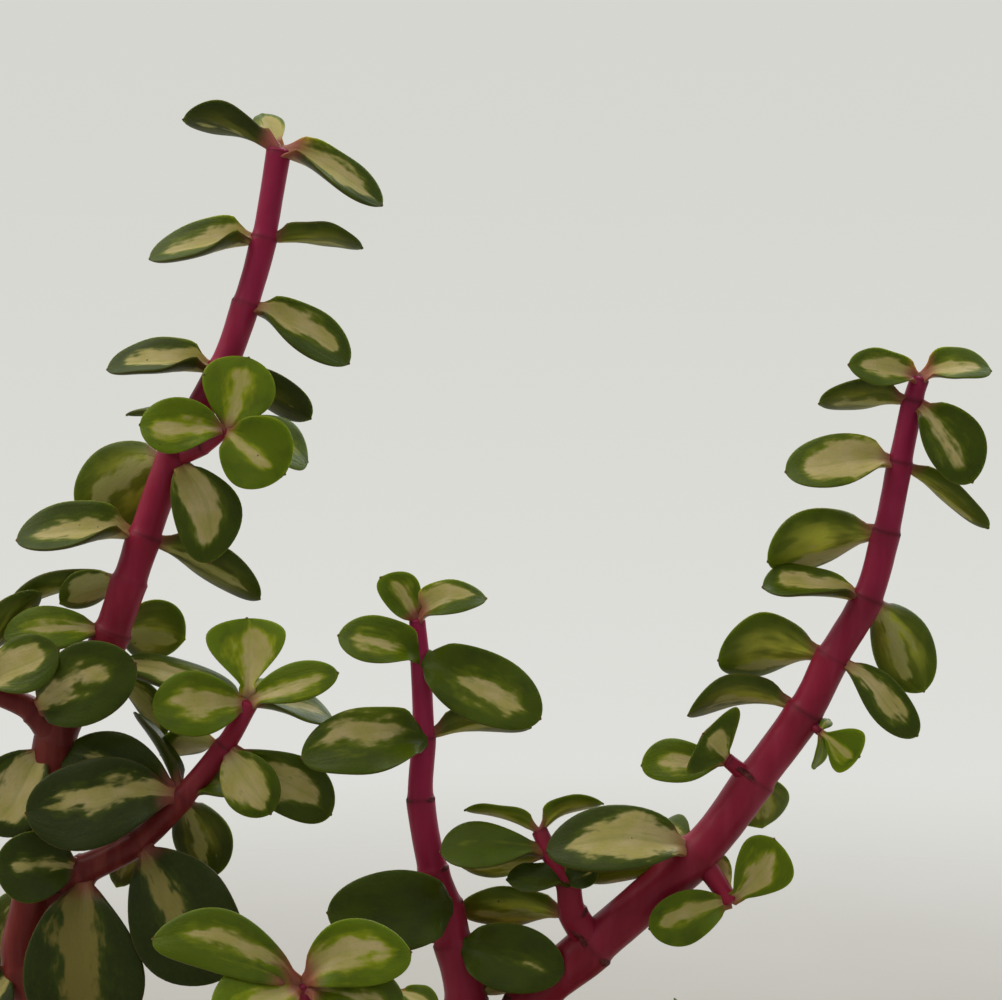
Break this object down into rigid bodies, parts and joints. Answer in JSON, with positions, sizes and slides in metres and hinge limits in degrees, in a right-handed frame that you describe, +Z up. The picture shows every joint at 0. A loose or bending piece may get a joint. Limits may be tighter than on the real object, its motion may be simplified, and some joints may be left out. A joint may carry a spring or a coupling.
{
  "type": "potted elephant bush",
  "caption": "Variegated elephant bush with magenta stems and small fleshy leaves, rooted in a plain terracotta pot.",
  "frame": {"origin": "centre of the pot's foot, on the surface the pot stands on", "axes": "+Z up along the pot's axis; -Y towards the side that shows most leaves' upper faces; +X towards the right stem seen from that side"},
  "size_m": [0.1737, 0.13, 0.2998],
  "materials": {
    "terracotta": "matt, unglazed",
    "soil": "dry, crumbly potting soil",
    "bark": "smooth, matt",
    "stem": "smooth, satin",
    "leaf": "satin, fleshy, variegated cream and green"
  },
  "bodies": {
    "root": {"pot": "terracotta", "soil": "soil", "trunk": "bark", "left_stem": "leaf", "right_stem": "leaf", "centre_stem": "leaf", "front_stem": "leaf", "low_shoot_back": "leaf", "low_shoot_back_left": "leaf", "low_shoot_back_right": "leaf", "low_shoot_right": "leaf", "low_shoot_front_right": "leaf", "low_shoot_front_left": "leaf"}
  },
  "joints": []
}
